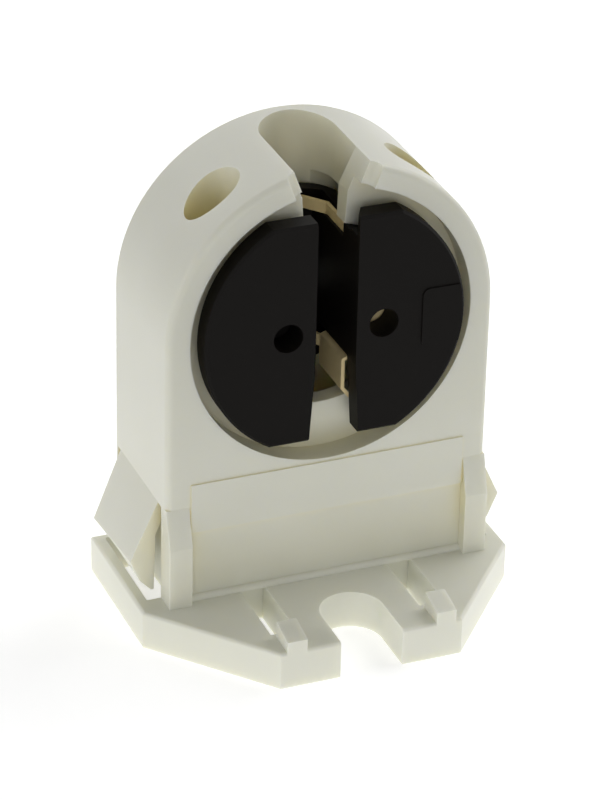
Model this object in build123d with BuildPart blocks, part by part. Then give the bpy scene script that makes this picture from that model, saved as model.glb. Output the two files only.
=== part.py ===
"""Push-through rotary holder for a tubular lamp with two pins, seen standing on its mounting flange.

Millimetres. X is to the right, Y runs from the ring face into the housing and Z is up.
The origin lies on the bottom face, under the lamp axis, in the plane of the ring face.
"""
from build123d import *
from math import cos, radians, sin
import os

os.makedirs("parts", exist_ok=True)

# Housing: outer form
body_width = 28.0
body_depth = 12.4
lamp_axis_height = 26.5
outline_edge_radius = 0.55
rear_edge_radius = 0.4

# Housing: recess for the rotor plate and the wall behind it
ring_wall = 1.95
recess_depth = 2.2
bearing_wall = 1.6

# Housing: groove for the lamp pins in the top
groove_radius = 3.2
groove_back_wall = 1.15
throat_low = 7.0
throat_low_half = 1.7
throat_mid = 10.6
throat_mid_front_half = 2.05
throat_mid_rear_half = 1.8
throat_high = 13.6
lip_radius = 0.9
apron_drop = 3.6
apron_clearance = 0.25
groove_side_wall = 1.15
groove_block_gap = 0.8

# Housing: round dimples in the arch
dimple_radius = 2.2
dimple_x = 8.5
dimple_y = 4.9
dimple_floor_z = 6.4
dimple_floor_radius = 10.4
dimple_wall = 1.1

# Housing: mounting flange
flange_thickness = 3.3
flange_front_y = -10.1
flange_front_half = 7.9
flange_overhang = 2.2
flange_corner_y = -0.5
flange_edge_radius = 0.3
screw_slot_half = 2.7
screw_slot_centre_y = -5.85
spring_slot_width = 2.2
spring_slot_x = 6.5
spring_slot_front_y = -7.1
spring_slot_rear_y = 0.35
nib_width = 1.7
nib_length = 2.5
nib_front_height = 0.95
nib_rear_height = 1.5

# Housing: front posts, lower front wall and the plain raised panel
post_width = 1.95
post_reach = 0.9
post_straight_top = 8.8
post_bevel_top = 12.1
post_rear_y = 1.25
lower_wall_set_back = 0.2
lower_wall_foot_radius = 0.45
panel_half_width = 11.9
panel_bottom = 9.75
panel_top = 14.15
panel_rise = 0.12

# Housing: side latches, moulded in one with it
latch_fold_z = 11.9
latch_root_thickness = 1.3
latch_root_rise = 0.6
latch_flare = 2.4
latch_front_y = 2.0
latch_rear_y = 11.1
latch_tip_front_z = 6.75
latch_tip_rear_z = 5.8
latch_heel_flare = 1.5
latch_heel_z = 4.65
latch_end_z = 3.75
latch_end_flare = 0.6
latch_end_thickness = 0.25
latch_bend_rise = 0.2
latch_inner_bend_z = 8.9
flange_rim = 1.0
latch_window_inner = 11.6
latch_window_rear_y = 11.7

# Housing: hollow behind the bearing wall
chamber_half_width = 10.2
chamber_floor = 3.3
chamber_front_wall = 1.6
chamber_shoulder_low = 14.5
chamber_shoulder_high = 18.0
chamber_shoulder_radius = 1.5
arch_wall = 1.8

# Wire entries in the bottom
wire_hole_radius = 1.35
wire_hole_inner_x = 3.9
wire_hole_pitch = 3.7
wire_hole_y = 7.1
wire_mouth_chamfer = 0.4

# Rotor
rotor_gap = 0.9
rotor_flat = 9.7
rotor_proud = 0.9
rotor_plate = 1.8
rotor_edge_chamfer = 0.22
slot_half = 1.75
slot_flare_half = 2.15
slot_flare_start = 3.4
slot_lead_in = 0.75
slot_lead_depth = 1.4
hub_radius = 7.95
hub_end_gap = 1.0
slot_floor = 1.2
hub_window_z = 3.4
shoulder_radius = 9.6
shoulder_slot_half = 3.2
test_hole_radius = 1.25
test_hole_x = 4.1
ear_height = 0.85
ear_length = 1.1
ear_width = 5.2
ear_gap = 0.1
pad_inner_x = 7.4
pad_reach = 6.0
pad_low_z = -2.75
pad_high_z = 2.45
pad_rise = 0.12
pad_corner_radius = 0.6
pivot_radius = 1.45

# Pin contacts, carried by the rotor
contact_sheet = 0.3
contact_rib = 0.25
contact_rib_top = 6.6
contact_rib_y = 2.4
lower_arm_y = 1.1
lower_arm_width = 4.7
lower_arm_high_z = 0.5
upper_arm_y = 3.1
upper_arm_inset = 2.2
contact_bend_z = 3.65
contact_bulge_x = 1.5
contact_bulge_high = 3.9
contact_bulge_low = 6.5
contact_foot_z = 7.3
contact_foot_x = 2.1
contact_top_z = 7.5
wing_y = 2.0
flap_end_x = 1.05
flap_end_y = 6.5
flap_low_z = 4.9
wing_reach = 6.3
wing_low_z = -2.3
wing_high_z = -0.2
tab_low_z = 6.5
tab_end_x = 0.7
tab_end_inset = 0.4

# Supply springs, seated in the housing
spring_sheet = 0.4
spring_front_y = 5.4
spring_inset = 2.4
spring_reach = 8.35
spring_bow_half = 2.2
spring_top_z = 4.4
spring_top_out = 0.7
spring_knee_z = 6.5
clamp_deck_z = 12.8
clamp_inner_x = 3.0
clamp_tip_z = 6.2
clamp_lean = 1.6
clamp_tip_rise = 4.0
spring_rib_low = 15.0
spring_rib_high = 18.0
spring_rib_width = 1.3

# Rear cover
cover_lip = 0.75
cover_thickness = 1.2
cover_hook_width = 5.0
cover_hook_gap = 0.6
cover_hook_thickness = 0.9
cover_hook_length = 3.6
cover_catch = 0.75
cover_catch_length = 0.9
cover_catch_recess = 0.45

# Clearances and overruns
cut_over = 1.0
running_clearance = 0.05
seat_clearance = 0.15
loose_clearance = 0.3

# Derived places
half_width = body_width / 2
post_inner_x = half_width - post_width
flange_half_width = half_width + flange_overhang
latch_window_outer = flange_half_width - flange_rim
recess_radius = half_width - ring_wall
cavity_radius = half_width - arch_wall
rotor_radius = recess_radius - rotor_gap
rotor_face_y = -rotor_proud
plate_rear_y = rotor_face_y + rotor_plate
bearing_rear_y = recess_depth + bearing_wall
bearing_radius = hub_radius + running_clearance
cover_front_y = body_depth - cover_thickness
hub_rear_y = cover_front_y - hub_end_gap
hub_length = hub_rear_y - plate_rear_y
slot_rear_y = hub_rear_y - slot_floor
groove_centre_y = body_depth - groove_back_wall - groove_radius
groove_block_half = groove_radius + groove_side_wall
groove_block_z = lamp_axis_height + hub_radius + groove_block_gap
apron_z = groove_block_z - apron_drop
contact_inner_x = slot_half + contact_rib
contact_centre_x = contact_inner_x + contact_sheet / 2
contact_seat = contact_sheet + loose_clearance
upper_arm_end_y = slot_rear_y - upper_arm_inset
upper_arm_width = upper_arm_end_y - upper_arm_y
lower_arm_end_y = lower_arm_y + lower_arm_width
tab_room_y = upper_arm_end_y - contact_sheet
tab_end_y = slot_rear_y - tab_end_inset
spring_width = cover_front_y - spring_inset - spring_front_y
spring_leg_x = chamber_half_width - seat_clearance - spring_sheet / 2
spring_leaf_x = spring_reach + spring_sheet / 2
cover_hook_outer = cavity_radius - cover_hook_gap


def depth_plane(y):
    """Plane seen from the front at depth y, with its own axes along X and Z."""
    return Plane.XZ.offset(-y)


def turned_plane(y, turn):
    """Plane at depth y centred on the lamp axis and turned about it by turn degrees."""
    return Plane(
        origin=(0, y, lamp_axis_height),
        x_dir=(cos(radians(turn)), 0, sin(radians(turn))),
        z_dir=(0, -1, 0),
    )


with BuildSketch(Plane.XZ) as cavity_outline:
    with BuildLine():
        Polyline(
            (0, chamber_floor),
            (chamber_half_width, chamber_floor),
            (chamber_half_width, chamber_shoulder_low),
            (cavity_radius, chamber_shoulder_high),
            (cavity_radius, lamp_axis_height),
        )
        RadiusArc((cavity_radius, lamp_axis_height), (0, lamp_axis_height + cavity_radius), -cavity_radius)
        mirror(about=Plane.YZ)
    make_face()
    fillet(
        cavity_outline.vertices().filter_by(lambda v: chamber_floor < v.Y < lamp_axis_height),
        chamber_shoulder_radius,
    )

with BuildSketch(Plane.XZ) as cover_outline:
    add(cavity_outline.sketch)
    offset(amount=cover_lip, kind=Kind.INTERSECTION)

with BuildPart() as dimple_core:
    # Upright round hole whose floor follows the arch
    with BuildSketch(Plane.XY.offset(lamp_axis_height + dimple_floor_z)):
        with Locations((dimple_x, dimple_y)):
            Circle(dimple_radius)
    extrude(amount=half_width)
    with BuildSketch(depth_plane(0)):
        with Locations((0, lamp_axis_height)):
            Circle(dimple_floor_radius)
    extrude(amount=-body_depth, mode=Mode.SUBTRACT)

with BuildPart() as dimple_boss:
    # Wall round that hole, inside the arch
    with BuildSketch(Plane.XY.offset(lamp_axis_height + dimple_floor_z - dimple_wall)):
        with Locations((dimple_x, dimple_y)):
            Circle(dimple_radius + dimple_wall)
    extrude(amount=half_width)
    with BuildSketch(depth_plane(0)):
        with Locations((0, lamp_axis_height)):
            Circle(cavity_radius + arch_wall / 2)
            Circle(dimple_floor_radius - dimple_wall, mode=Mode.SUBTRACT)
    extrude(amount=-body_depth, mode=Mode.INTERSECT)

with BuildPart() as housing:
    # Arched body, with its front and rear outlines rounded over
    with BuildSketch(depth_plane(0)):
        with Locations((0, lamp_axis_height)):
            Circle(half_width)
        with Locations((0, lamp_axis_height / 2)):
            Rectangle(body_width, lamp_axis_height)
    extrude(amount=-body_depth)
    front_edges = housing.faces().sort_by(Axis.Y)[0].edges().filter_by(lambda e: e.center().Z > flange_thickness)
    rear_edges = housing.faces().sort_by(Axis.Y)[-1].edges().filter_by(lambda e: e.center().Z > flange_thickness)
    fillet(front_edges, outline_edge_radius)
    fillet(rear_edges, rear_edge_radius)

    # Flange with chamfered front corners
    with BuildSketch():
        with BuildLine():
            Polyline(
                (0, flange_front_y),
                (flange_front_half, flange_front_y),
                (flange_half_width, flange_corner_y),
                (flange_half_width, body_depth),
                (0, body_depth),
            )
            mirror(about=Plane.YZ)
        make_face()
    extrude(amount=flange_thickness)
    flange_edges = housing.edges().filter_by_position(Axis.Z, flange_thickness, flange_thickness)
    free_edges = flange_edges.filter_by(
        lambda e: e.center().Y < -flange_edge_radius or abs(e.center().X) > half_width + flange_edge_radius
    )
    fillet(free_edges, flange_edge_radius)

    # Lower front wall, set back between the posts
    with BuildSketch(depth_plane(0)):
        with Locations((0, (flange_thickness + panel_bottom) / 2)):
            Rectangle(2 * post_inner_x, panel_bottom - flange_thickness)
    extrude(amount=-lower_wall_set_back, mode=Mode.SUBTRACT)

    # Plain panel above it
    with BuildSketch(depth_plane(0)):
        with Locations((0, (panel_bottom + panel_top) / 2)):
            Rectangle(2 * panel_half_width, panel_top - panel_bottom)
    extrude(amount=panel_rise)

    # Front posts with bevelled heads
    for side in (-1, 1):
        with BuildSketch(Plane.YZ.offset(side * post_inner_x)):
            Polygon(
                (outline_edge_radius, flange_thickness),
                (-post_reach, flange_thickness),
                (-post_reach, post_straight_top),
                (0, post_bevel_top),
                (outline_edge_radius, post_bevel_top),
                align=None,
            )
        extrude(amount=side * post_width)

    # Foot fillet along the lower front wall
    with BuildSketch(Plane.YZ.offset(-post_inner_x)):
        with BuildLine():
            foot_y = lower_wall_set_back
            foot_z = flange_thickness
            Polyline(
                (foot_y, foot_z + lower_wall_foot_radius),
                (foot_y, foot_z),
                (foot_y - lower_wall_foot_radius, foot_z),
            )
            RadiusArc(
                (foot_y - lower_wall_foot_radius, foot_z),
                (foot_y, foot_z + lower_wall_foot_radius),
                lower_wall_foot_radius,
            )
        make_face()
    extrude(amount=2 * post_inner_x)

    # Hollow for the supply springs, open to the rear
    with BuildSketch(depth_plane(bearing_rear_y)):
        add(cavity_outline.sketch)
    extrude(amount=-(body_depth - bearing_rear_y), mode=Mode.SUBTRACT)
    with BuildSketch(depth_plane(chamber_front_wall)):
        with Locations((0, (chamber_floor + panel_bottom) / 2)):
            Rectangle(2 * chamber_half_width, panel_bottom - chamber_floor)
    extrude(amount=-(bearing_rear_y - chamber_front_wall), mode=Mode.SUBTRACT)

    # Seat of the rear cover
    with BuildSketch(depth_plane(cover_front_y)):
        add(cover_outline.sketch)
    extrude(amount=-cover_thickness, mode=Mode.SUBTRACT)

    # Block that carries the pin groove down through the hollow
    with BuildSketch(Plane.XY.offset(groove_block_z)):
        with Locations((0, (bearing_rear_y + body_depth) / 2)):
            Rectangle(2 * groove_block_half, body_depth - bearing_rear_y)
    extrude(amount=lamp_axis_height + cavity_radius + cover_lip - groove_block_z)

    # Apron behind the hub, below the block
    with BuildSketch(Plane.XY.offset(apron_z)):
        with Locations((0, (hub_rear_y + apron_clearance + body_depth) / 2)):
            Rectangle(2 * groove_block_half, body_depth - hub_rear_y - apron_clearance)
    extrude(amount=apron_drop)

    # Dimples in the arch, with their walls
    add(dimple_boss.part)
    add(mirror(dimple_boss.part, about=Plane.YZ, mode=Mode.PRIVATE))
    add(dimple_core.part, mode=Mode.SUBTRACT)
    add(mirror(dimple_core.part, about=Plane.YZ, mode=Mode.PRIVATE), mode=Mode.SUBTRACT)

    # Recess for the rotor plate and bearing hole for its hub
    with BuildSketch(depth_plane(-panel_rise)):
        with Locations((0, lamp_axis_height)):
            Circle(recess_radius)
    extrude(amount=-(recess_depth + panel_rise), mode=Mode.SUBTRACT)
    with BuildSketch(depth_plane(recess_depth)):
        with Locations((0, lamp_axis_height)):
            Circle(bearing_radius)
    extrude(amount=-bearing_wall, mode=Mode.SUBTRACT)

    # Pin groove with a half-round back
    with BuildSketch(Plane.XY.offset(lamp_axis_height)):
        with Locations((0, groove_centre_y)):
            Circle(groove_radius)
        with Locations((0, (bearing_rear_y + groove_centre_y) / 2)):
            Rectangle(2 * groove_radius, groove_centre_y - bearing_rear_y)
    extrude(amount=half_width + cut_over, mode=Mode.SUBTRACT)

    # Throat that narrows downwards through the ring and the bearing wall, with rounded lips
    for throat_z, front_half, rear_half in (
        (throat_low, throat_low_half, throat_low_half),
        (throat_mid, throat_mid_front_half, throat_mid_rear_half),
        (throat_high, groove_radius, groove_radius),
        (half_width + cut_over, groove_radius, groove_radius),
    ):
        with BuildSketch(Plane.XY.offset(lamp_axis_height + throat_z)):
            with BuildLine():
                Polyline(
                    (0, -outline_edge_radius),
                    (front_half + lip_radius, -outline_edge_radius),
                    (front_half + lip_radius, 0),
                )
                RadiusArc((front_half + lip_radius, 0), (front_half, lip_radius), -lip_radius)
                Polyline(
                    (front_half, lip_radius),
                    (rear_half, bearing_rear_y),
                    (0, bearing_rear_y),
                )
                mirror(about=Plane.YZ)
            make_face()
    loft(ruled=True, mode=Mode.SUBTRACT)

    # Pockets beside the side walls, open downwards through the flange
    for side in (-1, 1):
        with BuildSketch(Plane.XY):
            with Locations((side * (latch_window_inner + latch_window_outer) / 2,
                            (post_rear_y + latch_window_rear_y) / 2)):
                Rectangle(latch_window_outer - latch_window_inner, latch_window_rear_y - post_rear_y)
        extrude(amount=latch_fold_z, mode=Mode.SUBTRACT)

    # Latches that hang in the pockets and flare outwards
    for side in (-1, 1):
        wall = side * half_width
        for end_y, tip_z in ((latch_front_y, latch_tip_front_z), (latch_rear_y, latch_tip_rear_z)):
            with BuildSketch(depth_plane(end_y)):
                Polygon(
                    (wall - side * latch_root_thickness, latch_fold_z + latch_root_rise),
                    (wall, latch_fold_z + latch_root_rise),
                    (wall, latch_fold_z),
                    (wall + side * latch_flare, tip_z),
                    (wall + side * latch_heel_flare, latch_heel_z),
                    (wall + side * latch_end_flare, latch_end_z),
                    (wall + side * (latch_end_flare - latch_end_thickness), latch_end_z),
                    (wall + side * latch_end_thickness, tip_z),
                    (wall + side * latch_bend_rise, latch_inner_bend_z),
                    align=None,
                )
        loft(ruled=True)

    # Screw slot, spring slots and nibs of the flange
    with BuildSketch():
        with Locations((0, screw_slot_centre_y)):
            Circle(screw_slot_half)
        with Locations((0, (flange_front_y + screw_slot_centre_y) / 2)):
            Rectangle(2 * screw_slot_half, screw_slot_centre_y - flange_front_y)
    extrude(amount=flange_thickness, mode=Mode.SUBTRACT)
    with BuildSketch():
        with Locations(*[(side * spring_slot_x, (spring_slot_front_y + spring_slot_rear_y) / 2) for side in (-1, 1)]):
            Rectangle(spring_slot_width, spring_slot_rear_y - spring_slot_front_y)
    extrude(amount=flange_thickness, mode=Mode.SUBTRACT)
    for side in (-1, 1):
        with BuildSketch(Plane.YZ.offset(side * spring_slot_x - nib_width / 2)):
            Polygon(
                (flange_front_y, flange_thickness - flange_edge_radius),
                (flange_front_y, flange_thickness + nib_front_height),
                (flange_front_y + nib_length, flange_thickness + nib_rear_height),
                (flange_front_y + nib_length, flange_thickness - flange_edge_radius),
                align=None,
            )
        extrude(amount=nib_width)

    # Wire entries with funnels in the bottom
    with BuildSketch():
        with Locations(*[(side * (wire_hole_inner_x + k * wire_hole_pitch), wire_hole_y)
                         for side in (-1, 1) for k in (0, 1)]):
            Circle(wire_hole_radius)
    extrude(amount=chamber_floor, mode=Mode.SUBTRACT)
    wire_mouths = housing.faces().sort_by(Axis.Z)[0].edges().filter_by(GeomType.CIRCLE)
    chamfer(wire_mouths.filter_by(lambda e: e.radius < wire_hole_radius + running_clearance), wire_mouth_chamfer)

    # Ribs that seat the supply springs
    for side in (-1, 1):
        with BuildSketch(depth_plane(bearing_rear_y)):
            with Locations((side * (chamber_half_width - spring_rib_width / 2),
                            (spring_rib_low + spring_rib_high) / 2)):
                Rectangle(spring_rib_width, spring_rib_high - spring_rib_low)
        extrude(amount=-(spring_front_y - seat_clearance - bearing_rear_y))

    # Recesses for the catches of the rear cover
    with BuildSketch(depth_plane(cover_front_y - cover_hook_length - seat_clearance)):
        with Locations((0, lamp_axis_height)):
            Rectangle(2 * (cavity_radius + cover_catch_recess), cover_hook_width + 2 * loose_clearance)
            Rectangle(2 * cover_hook_outer, cover_hook_width + 2 * loose_clearance, mode=Mode.SUBTRACT)
    extrude(amount=-(cover_catch_length + 2 * seat_clearance), mode=Mode.SUBTRACT)

housing.part.label = "housing"
export_step(housing.part, "parts/housing.step")


lamp_axis = Axis((0, 0, lamp_axis_height), (0, 1, 0))

with BuildPart() as rotor_contact_right:
    # Upper and lower arm beside the slot
    with BuildSketch(Plane.YZ.offset(contact_inner_x)):
        arm_low = lamp_axis_height - contact_bend_z
        with Locations(((upper_arm_y + upper_arm_end_y) / 2, arm_low + (contact_top_z + contact_bend_z) / 2)):
            Rectangle(upper_arm_width, contact_top_z + contact_bend_z)
        with Locations(((wing_y + lower_arm_end_y) / 2, arm_low + (lower_arm_high_z + contact_bend_z) / 2)):
            Rectangle(lower_arm_end_y - wing_y, lower_arm_high_z + contact_bend_z)
    extrude(amount=contact_sheet)

    # Foot of the lower arm, bulged into the slot
    with BuildSketch(depth_plane(lower_arm_y)):
        with BuildLine():
            Polyline(
                (contact_centre_x, lamp_axis_height - contact_bend_z),
                (contact_bulge_x, lamp_axis_height - contact_bulge_high),
                (contact_bulge_x, lamp_axis_height - contact_bulge_low),
                (contact_foot_x, lamp_axis_height - contact_foot_z),
            )
            offset(amount=contact_sheet / 2, side=Side.BOTH)
        make_face()
    extrude(amount=-lower_arm_width)

    # Flap bent inwards at the rear end of the foot
    with BuildSketch(Plane.XY.offset(lamp_axis_height - flap_low_z)):
        with BuildLine():
            Polyline(
                (contact_bulge_x, lower_arm_end_y - contact_sheet),
                (contact_bulge_x, lower_arm_end_y),
                (flap_end_x, flap_end_y),
            )
            offset(amount=contact_sheet / 2, side=Side.BOTH)
        make_face()
    extrude(amount=flap_low_z - contact_bulge_high)

    # Wing that stands behind the test hole
    with BuildSketch(depth_plane(wing_y)):
        with Locations(((contact_inner_x + wing_reach) / 2, lamp_axis_height + (wing_low_z + wing_high_z) / 2)):
            Rectangle(wing_reach - contact_inner_x, wing_high_z - wing_low_z)
    extrude(amount=-contact_sheet)

    # Tab bent back across the end of the slot
    with BuildSketch(Plane.XY.offset(lamp_axis_height + tab_low_z)):
        with BuildLine():
            Polyline(
                (contact_centre_x, upper_arm_end_y - contact_sheet),
                (contact_centre_x, upper_arm_end_y),
                (tab_end_x, tab_end_y),
            )
            offset(amount=contact_sheet / 2, side=Side.BOTH)
        make_face()
    extrude(amount=contact_top_z - tab_low_z)

rotor_contact_right.part.label = "rotor_contact_right"
export_step(rotor_contact_right.part, "parts/rotor_contact_right.step")

with BuildPart() as rotor_contact_left:
    add(rotor_contact_right.part.rotate(lamp_axis, 180))

rotor_contact_left.part.label = "rotor_contact_left"
export_step(rotor_contact_left.part, "parts/rotor_contact_left.step")

with BuildPart() as rotor:
    # Front plate with two flats
    with BuildSketch(depth_plane(rotor_face_y)):
        with Locations((0, lamp_axis_height)):
            Circle(rotor_radius)
            Rectangle(2 * rotor_radius, 2 * rotor_flat, mode=Mode.INTERSECT)
    extrude(amount=-rotor_plate)

    # Shoulder ring that runs on the recess floor, open at the slot
    with BuildSketch(depth_plane(plate_rear_y)):
        with Locations((0, lamp_axis_height)):
            Circle(shoulder_radius)
            Rectangle(2 * shoulder_slot_half, 3 * shoulder_radius, mode=Mode.SUBTRACT)
    extrude(amount=-(recess_depth - running_clearance - plate_rear_y))

    # Hub with the pin slot
    with BuildSketch(depth_plane(plate_rear_y)):
        with Locations((0, lamp_axis_height)):
            Circle(hub_radius)
    extrude(amount=-hub_length)

    # Snap ears behind the bearing wall
    with BuildSketch(depth_plane(bearing_rear_y + ear_gap)):
        with Locations((0, lamp_axis_height)):
            Circle(hub_radius + ear_height)
            Rectangle(3 * hub_radius, ear_width, mode=Mode.INTERSECT)
            Circle(hub_radius - ear_height, mode=Mode.SUBTRACT)
    extrude(amount=-ear_length)

    # Slot, wider at the lower end of the plate
    with BuildSketch(depth_plane(rotor_face_y)):
        with Locations((0, lamp_axis_height)):
            Rectangle(2 * slot_half, 3 * rotor_radius)
    extrude(amount=-(slot_rear_y - rotor_face_y), mode=Mode.SUBTRACT)
    with BuildSketch(depth_plane(rotor_face_y)):
        with BuildLine():
            Polyline(
                (0, lamp_axis_height - slot_flare_start),
                (slot_half, lamp_axis_height - slot_flare_start),
                (slot_flare_half, lamp_axis_height - rotor_flat),
                (0, lamp_axis_height - rotor_flat),
            )
            mirror(about=Plane.YZ)
        make_face()
    extrude(amount=-rotor_plate, mode=Mode.SUBTRACT)

    # One edge of the slot cut back behind the face at each end, beyond the hub
    for end in (-1, 1):
        with BuildSketch(Plane.XY.offset(lamp_axis_height + end * hub_radius)):
            Polygon(
                (0, plate_rear_y - slot_lead_depth),
                (end * slot_half, plate_rear_y - slot_lead_depth),
                (end * (slot_half + slot_lead_in), plate_rear_y),
                (0, plate_rear_y),
                align=None,
            )
        extrude(amount=end * (rotor_flat - hub_radius), mode=Mode.SUBTRACT)

    # Quadrants of the hub that stay open for the lower arms, with the seats of both contacts
    for turn in (0, 180):
        seat = turned_plane(plate_rear_y, turn)
        with BuildSketch(seat):
            with Locations((slot_half + hub_radius / 2, -hub_window_z - hub_radius / 2)):
                Rectangle(hub_radius, hub_radius)
        extrude(amount=-(slot_rear_y - plate_rear_y), mode=Mode.SUBTRACT)
        with BuildSketch(seat.offset(plate_rear_y - upper_arm_y + seat_clearance)):
            with Locations((contact_inner_x + contact_seat / 2, hub_radius / 2 - hub_window_z / 2)):
                Rectangle(contact_seat, hub_radius + hub_window_z + cut_over)
        extrude(amount=-(upper_arm_width + 2 * seat_clearance), mode=Mode.SUBTRACT)
        lower_seat_top = lower_arm_high_z + seat_clearance
        with BuildSketch(seat.offset(plate_rear_y - wing_y + seat_clearance)):
            with Locations((contact_inner_x + contact_seat / 2, (lower_seat_top - hub_window_z) / 2)):
                Rectangle(contact_seat, lower_seat_top + hub_window_z)
        extrude(amount=-(lower_arm_end_y - wing_y + 2 * seat_clearance), mode=Mode.SUBTRACT)
        wing_room = wing_high_z - wing_low_z + 2 * seat_clearance
        with BuildSketch(seat.offset(plate_rear_y - wing_y + seat_clearance)):
            with Locations(((contact_inner_x + wing_reach + seat_clearance) / 2, (wing_low_z + wing_high_z) / 2)):
                Rectangle(wing_reach + seat_clearance - contact_inner_x, wing_room)
        extrude(amount=-(contact_sheet + 2 * seat_clearance), mode=Mode.SUBTRACT)
        # Rib beside the upper arm, lower than the sheet
        with BuildSketch(seat.offset(plate_rear_y - contact_rib_y)):
            with Locations((slot_half + contact_rib / 2, (contact_rib_top + hub_radius) / 2)):
                Rectangle(contact_rib, hub_radius - contact_rib_top)
        extrude(amount=-(slot_rear_y - contact_rib_y), mode=Mode.SUBTRACT)
        # Room for the tab at the end of the slot
        with BuildSketch(seat.offset(plate_rear_y - tab_room_y)):
            with Locations((slot_half + (contact_rib + contact_seat) / 2, (tab_low_z + hub_radius) / 2)):
                Rectangle(contact_rib + contact_seat, hub_radius - tab_low_z + 2 * seat_clearance)
        extrude(amount=-(slot_rear_y - tab_room_y), mode=Mode.SUBTRACT)

    # Test holes through the plate
    with BuildSketch(depth_plane(rotor_face_y)):
        with Locations((-test_hole_x, lamp_axis_height), (test_hole_x, lamp_axis_height)):
            Circle(test_hole_radius)
    extrude(amount=-(wing_y - seat_clearance - rotor_face_y), mode=Mode.SUBTRACT)

    # Bevelled rim of the plate
    face_edges = rotor.edges().filter_by_position(Axis.Y, rotor_face_y, rotor_face_y)
    rim_arcs = face_edges.filter_by(lambda e: e.geom_type == GeomType.CIRCLE and e.radius > test_hole_x)
    rim_flats = face_edges.filter_by(Axis.X)
    chamfer(rim_arcs + rim_flats, rotor_edge_chamfer)

    # Slightly raised plain pad at the rim
    with BuildSketch(depth_plane(rotor_face_y - pad_rise)):
        with Locations((pad_inner_x + pad_reach / 2, lamp_axis_height + (pad_low_z + pad_high_z) / 2)):
            RectangleRounded(pad_reach, pad_high_z - pad_low_z, pad_corner_radius)
        with Locations((0, lamp_axis_height)):
            Circle(rotor_radius - rotor_edge_chamfer, mode=Mode.INTERSECT)
    extrude(amount=-(pad_rise + rotor_plate / 2))

    # Pivot hole at the rear
    with BuildSketch(depth_plane(slot_rear_y)):
        with Locations((0, lamp_axis_height)):
            Circle(pivot_radius + running_clearance)
    extrude(amount=-slot_floor, mode=Mode.SUBTRACT)

rotor.part.label = "rotor"
export_step(rotor.part, "parts/rotor.step")

with BuildPart() as supply_spring_right:
    # Leaf beside the hub and leg down to the clamp
    with BuildSketch(depth_plane(spring_front_y)):
        with BuildLine():
            Polyline(
                (spring_leaf_x + spring_top_out, lamp_axis_height + spring_top_z),
                (spring_leaf_x, lamp_axis_height + spring_bow_half),
                (spring_leaf_x, lamp_axis_height - spring_bow_half),
                (spring_leg_x, lamp_axis_height - spring_knee_z),
                (spring_leg_x, clamp_deck_z),
                (spring_leg_x, clamp_tip_z + clamp_tip_rise),
                (spring_leg_x - clamp_lean, clamp_tip_z),
            )
            offset(amount=spring_sheet / 2, side=Side.BOTH)
        make_face()
        # Deck over the wire entries with the inner clamping tongue
        with BuildLine():
            Polyline(
                (spring_leg_x, clamp_deck_z),
                (clamp_inner_x, clamp_deck_z),
                (clamp_inner_x + clamp_lean, clamp_tip_z),
            )
            offset(amount=spring_sheet / 2, side=Side.BOTH)
        make_face()
    extrude(amount=-spring_width)

supply_spring_right.part.label = "supply_spring_right"
export_step(supply_spring_right.part, "parts/supply_spring_right.step")

with BuildPart() as supply_spring_left:
    add(mirror(supply_spring_right.part, about=Plane.YZ, mode=Mode.PRIVATE))

supply_spring_left.part.label = "supply_spring_left"
export_step(supply_spring_left.part, "parts/supply_spring_left.step")

with BuildPart() as rear_cover:
    # Plate with a notch round the groove block
    with BuildSketch(depth_plane(cover_front_y)):
        add(cover_outline.sketch)
        offset(amount=-seat_clearance, kind=Kind.INTERSECTION)
        with Locations((0, apron_z - seat_clearance + half_width / 2)):
            Rectangle(2 * (groove_block_half + seat_clearance), half_width, mode=Mode.SUBTRACT)
    extrude(amount=-cover_thickness)

    # Pivot pin for the rotor
    with BuildSketch(depth_plane(slot_rear_y)):
        with Locations((0, lamp_axis_height)):
            Circle(pivot_radius)
    extrude(amount=-(cover_front_y - slot_rear_y))

    # Snap hooks at the sides
    with BuildSketch(depth_plane(cover_front_y - cover_hook_length)):
        with Locations(*[(side * (cover_hook_outer - cover_hook_thickness / 2), lamp_axis_height)
                         for side in (-1, 1)]):
            Rectangle(cover_hook_thickness, cover_hook_width)
    extrude(amount=-cover_hook_length)
    with BuildSketch(depth_plane(cover_front_y - cover_hook_length)):
        with Locations(*[(side * (cover_hook_outer + cover_catch / 2), lamp_axis_height) for side in (-1, 1)]):
            Rectangle(cover_catch, cover_hook_width)
    extrude(amount=-cover_catch_length)

    # Ribs that press on the supply springs
    with BuildSketch(depth_plane(spring_front_y + spring_width + seat_clearance)):
        with Locations(*[(side * (chamber_half_width - seat_clearance - spring_rib_width / 2),
                          (spring_rib_low + spring_rib_high) / 2) for side in (-1, 1)]):
            Rectangle(spring_rib_width, spring_rib_high - spring_rib_low)
    extrude(amount=-(cover_front_y - spring_front_y - spring_width - seat_clearance))

rear_cover.part.label = "rear_cover"
export_step(rear_cover.part, "parts/rear_cover.step")
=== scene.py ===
"""Fluorescent lamp holder, standing on its flange under soft studio light. Metres, in the CAD model's frame."""

import bpy
from mathutils import Matrix, Vector

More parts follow.
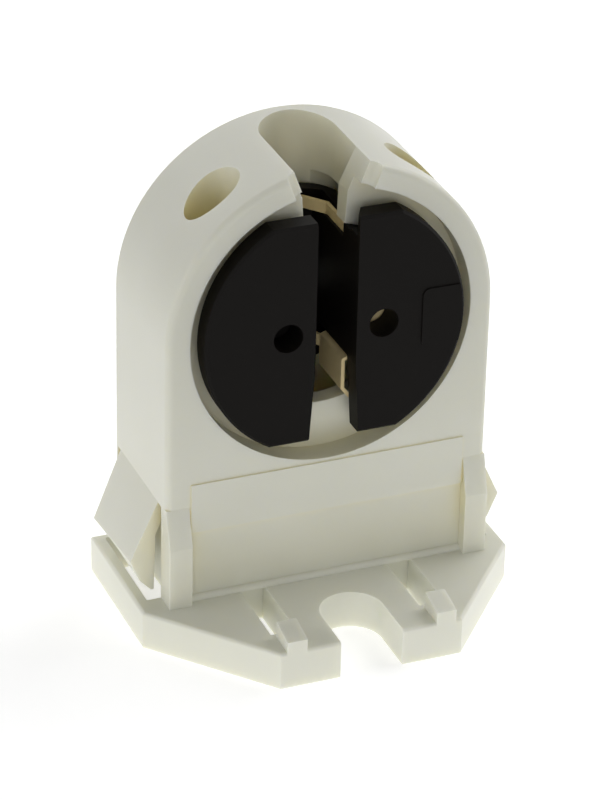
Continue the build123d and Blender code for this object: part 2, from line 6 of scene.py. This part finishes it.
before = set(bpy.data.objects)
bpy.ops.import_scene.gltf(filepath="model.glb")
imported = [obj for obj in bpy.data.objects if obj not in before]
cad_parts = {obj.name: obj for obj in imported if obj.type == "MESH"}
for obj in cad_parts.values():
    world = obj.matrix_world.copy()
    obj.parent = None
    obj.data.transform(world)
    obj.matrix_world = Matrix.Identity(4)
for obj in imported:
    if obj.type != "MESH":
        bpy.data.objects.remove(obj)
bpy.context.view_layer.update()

# Noise scales are cells per metre. The real grain of each surface is too fine to show, so it is drawn coarser.
cloud_scale = 90.0  # clouds in the plastic, about 11 mm across
plastic_grain = 1400.0  # about 0.7 mm
thermoset_grain = 1100.0  # about 0.9 mm
bronze_grain = 900.0  # about 1.1 mm
moulded_relief = 0.00003
stamped_relief = 0.00002

# The painted cream glow of hollows, which stands in for light passing through the thin plastic walls: how far the
# plastic looks for walls round it, and the heights between which it sets in, from the top of the flange upwards.
painted_glow_reach = 0.007
painted_glow_from = 0.0033
painted_glow_full = 0.008

# Light that scatters below the face of the plastic.
scatter_depth = 0.0009
scatter_by_channel = (1.0, 0.94, 0.7)

# The floor: half of its side, its glow with the radii between which it fades, and its strength where it is seen.
floor_half = 1.5
glow_strength = 0.68
glow_full_radius = 0.02
glow_end_radius = 0.07
floor_seen_strength = 0.54

# The surround: its strength as a light, and the plain white that is seen behind the object.
world_light = 0.22
world_seen = 1.0

# The lamps are equal rectangles turned towards the middle of the holder. Each has a name, a place and its watts.
lamp_width = 0.35
lamp_height = 0.30
lamp_aim = (0.0, 0.0, 0.02)
lamps = [
    ("light left", (-0.44, 0.05, 0.12), 0.6),
    ("light right", (0.32, 0.12, 0.38), 1.0),
    ("light right low", (0.45, 0.05, 0.08), 0.3),
    ("light rear low", (0.0, 0.45, 0.10), 0.55),
    ("light front", (-0.10, -0.44, 0.08), 0.5),
]

# The camera: its place, and its own right, up and ahead directions.
camera_place = (-0.0998316, -0.2351395, 0.1609611)
camera_right = Vector((0.9282741, -0.3713189, 0.0207236))
camera_up = Vector((0.1629301, 0.4561419, 0.8748648))
camera_ahead = Vector((0.3343067, 0.8087378, -0.4839237))
camera_lens = 163.184
camera_sensor = 36.0


def srgb(text):
    """Linear colour of a six-digit sRGB hex text: ((c + 0.055) / 1.055) ** 2.4, or c / 12.92 below 0.04045."""
    values = [int(text[i:i + 2], 16) / 255 for i in (0, 2, 4)]
    return [c / 12.92 if c <= 0.04045 else ((c + 0.055) / 1.055) ** 2.4 for c in values] + [1.0]


def node(tree, kind, place, inputs=None, **settings):
    """Adds one shader node at a place in the tree and sets its properties. Each input is given a plain value, or
    another node's output, which is linked to it."""
    made = tree.nodes.new(kind)
    made.location = place
    for name, value in settings.items():
        setattr(made, name, value)
    for name, value in (inputs or {}).items():
        if isinstance(value, bpy.types.NodeSocket):
            tree.links.new(value, made.inputs[name])
        else:
            made.inputs[name].default_value = value
    return made


def new_material(name, finish):
    """A node material with its output, its Principled shader set to a finish, and Object coordinates."""
    material = bpy.data.materials.new(name)
    material.use_nodes = True
    tree = material.node_tree
    tree.nodes.clear()
    shader = node(tree, "ShaderNodeBsdfPrincipled", (300, 0), finish)
    node(tree, "ShaderNodeOutputMaterial", (600, 0), {"Surface": shader.outputs["BSDF"]})
    coordinates = node(tree, "ShaderNodeTexCoord", (-900, 0)).outputs["Object"]
    return material, tree, shader, coordinates


def fine_bump(tree, shader, coordinates, scale, distance, strength):
    """Gives a shader a fine uneven surface from three-dimensional noise."""
    grain = node(tree, "ShaderNodeTexNoise", (-500, -300), {
        "Vector": coordinates, "Scale": scale, "Detail": 3.0, "Roughness": 0.6})
    bump = node(tree, "ShaderNodeBump", (0, -300), {
        "Height": grain.outputs["Fac"], "Strength": strength, "Distance": distance})
    tree.links.new(bump.outputs["Normal"], shader.inputs["Normal"])


def off_white_polycarbonate():
    """Moulded polycarbonate, off-white and satin, that light enters a little. Painted cream glow in hollows stands in
    for light through walls.
    """
    material, tree, shader, coordinates = new_material("moulded polycarbonate, off-white satin", {
        "Roughness": 0.38, "IOR": 1.5, "Specular IOR Level": 0.4, "Subsurface Weight": 0.5,
        "Subsurface Radius": scatter_by_channel, "Subsurface Scale": scatter_depth})
    cloud = node(tree, "ShaderNodeTexNoise", (-700, 100), {
        "Vector": coordinates, "Scale": cloud_scale, "Detail": 2.0, "Roughness": 0.5})
    tone = node(tree, "ShaderNodeMix", (-500, 100), {
        "Factor": cloud.outputs["Fac"], "A": srgb("DEDECF"), "B": srgb("E4E4D9")}, data_type="RGBA")
    # Painted cream glow: where walls close round the plastic above the flange, the colour turns cream, standing in for
    # light that passes through the thin walls.
    openness = node(tree, "ShaderNodeAmbientOcclusion", (-900, 500), {"Distance": painted_glow_reach},
                    samples=6, only_local=True)
    closed = node(tree, "ShaderNodeMath", (-700, 500), {0: 1.0, 1: openness.outputs["AO"]}, operation="SUBTRACT")
    height = node(tree, "ShaderNodeSeparateXYZ", (-700, 300), {"Vector": coordinates})
    raised = node(tree, "ShaderNodeMapRange", (-500, 300), {
        "Value": height.outputs["Z"], "From Min": painted_glow_from, "From Max": painted_glow_full})
    painted_glow_mask = node(tree, "ShaderNodeMath", (-300, 400), {
        0: closed.outputs["Value"], 1: raised.outputs["Result"]}, operation="MULTIPLY")
    # EDE4B8 is the painted cream glow of the hollows, not a colour of the plastic.
    painted_glow_tone = node(tree, "ShaderNodeMix", (-100, 200), {
        "Factor": painted_glow_mask.outputs["Value"], "A": tone.outputs["Result"], "B": srgb("EDE4B8")}, data_type="RGBA")
    tree.links.new(painted_glow_tone.outputs["Result"], shader.inputs["Base Color"])
    fine_bump(tree, shader, coordinates, plastic_grain, moulded_relief, 0.25)
    return material


def brown_black_thermoset():
    """Moulded thermoset, brown-black with a satin face that mirrors little, as on the rotor."""
    material, tree, shader, coordinates = new_material("moulded thermoset, brown-black satin", {
        "Base Color": srgb("0F0D0B"), "Roughness": 0.5, "IOR": 1.5, "Specular IOR Level": 0.08})
    fine_bump(tree, shader, coordinates, thermoset_grain, moulded_relief, 0.3)
    return material


def phosphor_bronze():
    """Stamped phosphor bronze strip, bare and dulled. It is less metallic than the real alloy, so that it stays light
    in the dark slot."""
    material, tree, shader, coordinates = new_material("stamped phosphor bronze, bare", {
        "Base Color": srgb("F2DDA8"), "Metallic": 0.2, "Roughness": 0.4})
    fine_bump(tree, shader, coordinates, bronze_grain, stamped_relief, 0.25)
    return material


def seen_directly(tree, place):
    """A value of 1 for rays from the camera and for mirrored or transmitted ones, else 0."""
    path = node(tree, "ShaderNodeLightPath", (place[0] - 500, place[1]))
    mirrored = node(tree, "ShaderNodeMath", (place[0] - 250, place[1]), {
        0: path.outputs["Is Camera Ray"], 1: path.outputs["Is Glossy Ray"]}, operation="MAXIMUM")
    either = node(tree, "ShaderNodeMath", place, {
        0: mirrored.outputs["Value"], 1: path.outputs["Is Transmission Ray"]}, operation="MAXIMUM")
    return either.outputs["Value"]


def white_floor():
    """A white sheet lit from below. Its glow is full round the middle and falls off smoothly to nothing. Where the
    sheet is seen it has one even strength, which reaches plain white with the light that falls on it in the open, and
    stays a little under it in the object's shadow."""
    material, tree, shader, coordinates = new_material("white light table", {
        "Base Color": srgb("F4F4F4"), "Roughness": 0.95, "Specular IOR Level": 0.0,
        "Emission Color": srgb("FFFFFF")})
    reach = node(tree, "ShaderNodeVectorMath", (-600, -600), {0: coordinates}, operation="LENGTH")
    glow = node(tree, "ShaderNodeMapRange", (-300, -600), {
        "Value": reach.outputs["Value"], "From Min": glow_full_radius, "From Max": glow_end_radius,
        "To Min": glow_strength, "To Max": 0.0}, interpolation_type="SMOOTHSTEP")
    strength = node(tree, "ShaderNodeMix", (0, -300), {
        "Factor": seen_directly(tree, (-300, -300)), "A": glow.outputs["Result"], "B": floor_seen_strength},
                    data_type="FLOAT")
    tree.links.new(strength.outputs["Result"], shader.inputs["Emission Strength"])
    return material


def white_world():
    """A white surround that lights softly from all sides and is plain white behind the object."""
    world = bpy.data.worlds.new("white surround")
    bpy.context.scene.world = world
    world.use_nodes = True
    tree = world.node_tree
    tree.nodes.clear()
    strength = node(tree, "ShaderNodeMath", (50, 0), {
        0: seen_directly(tree, (-200, 0)), 1: world_seen - world_light, 2: world_light}, operation="MULTIPLY_ADD")
    background = node(tree, "ShaderNodeBackground", (300, 0), {
        "Color": srgb("FFFFFF"), "Strength": strength.outputs["Value"]})
    node(tree, "ShaderNodeOutputWorld", (600, 0), {"Surface": background.outputs["Background"]})


def paint(material, *names):
    """Gives these CAD nodes one material."""
    for name in names:
        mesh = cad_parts[name].data
        mesh.materials.clear()
        mesh.materials.append(material)


def floor():
    """A square floor at height 0."""
    mesh = bpy.data.meshes.new("studio floor")
    corners = [(x * floor_half, y * floor_half, 0) for x, y in ((-1, -1), (1, -1), (1, 1), (-1, 1))]
    mesh.from_pydata(corners, [], [(0, 1, 2, 3)])
    made = bpy.data.objects.new("studio_floor", mesh)
    bpy.context.collection.objects.link(made)
    mesh.materials.append(white_floor())


def area_light(name, place, watts):
    """A soft rectangular light at a place, turned towards the holder."""
    data = bpy.data.lights.new(name, "AREA")
    data.shape = "RECTANGLE"
    data.size = lamp_width
    data.size_y = lamp_height
    data.energy = watts
    lamp = bpy.data.objects.new(name, data)
    lamp.location = place
    lamp.rotation_euler = (Vector(lamp_aim) - Vector(place)).to_track_quat("-Z", "Y").to_euler()
    bpy.context.collection.objects.link(lamp)


def camera():
    """The photograph's camera: front left and above, with a long lens."""
    data = bpy.data.cameras.new("camera")
    data.sensor_width = camera_sensor
    data.lens = camera_lens
    data.clip_start = 0.01
    data.clip_end = 10.0
    turn = Matrix((camera_right, camera_up, -camera_ahead)).transposed()
    made = bpy.data.objects.new("camera", data)
    made.matrix_world = Matrix.Translation(camera_place) @ turn.to_4x4()
    bpy.context.collection.objects.link(made)
    bpy.context.scene.camera = made


paint(off_white_polycarbonate(), "housing", "rear_cover")
paint(brown_black_thermoset(), "rotor")
paint(phosphor_bronze(), "rotor_contact_right", "rotor_contact_left", "supply_spring_right", "supply_spring_left")

floor()
white_world()
for lamp_name, lamp_place, lamp_watts in lamps:
    area_light(lamp_name, lamp_place, lamp_watts)
camera()

bpy.context.scene.view_settings.view_transform = "Standard"
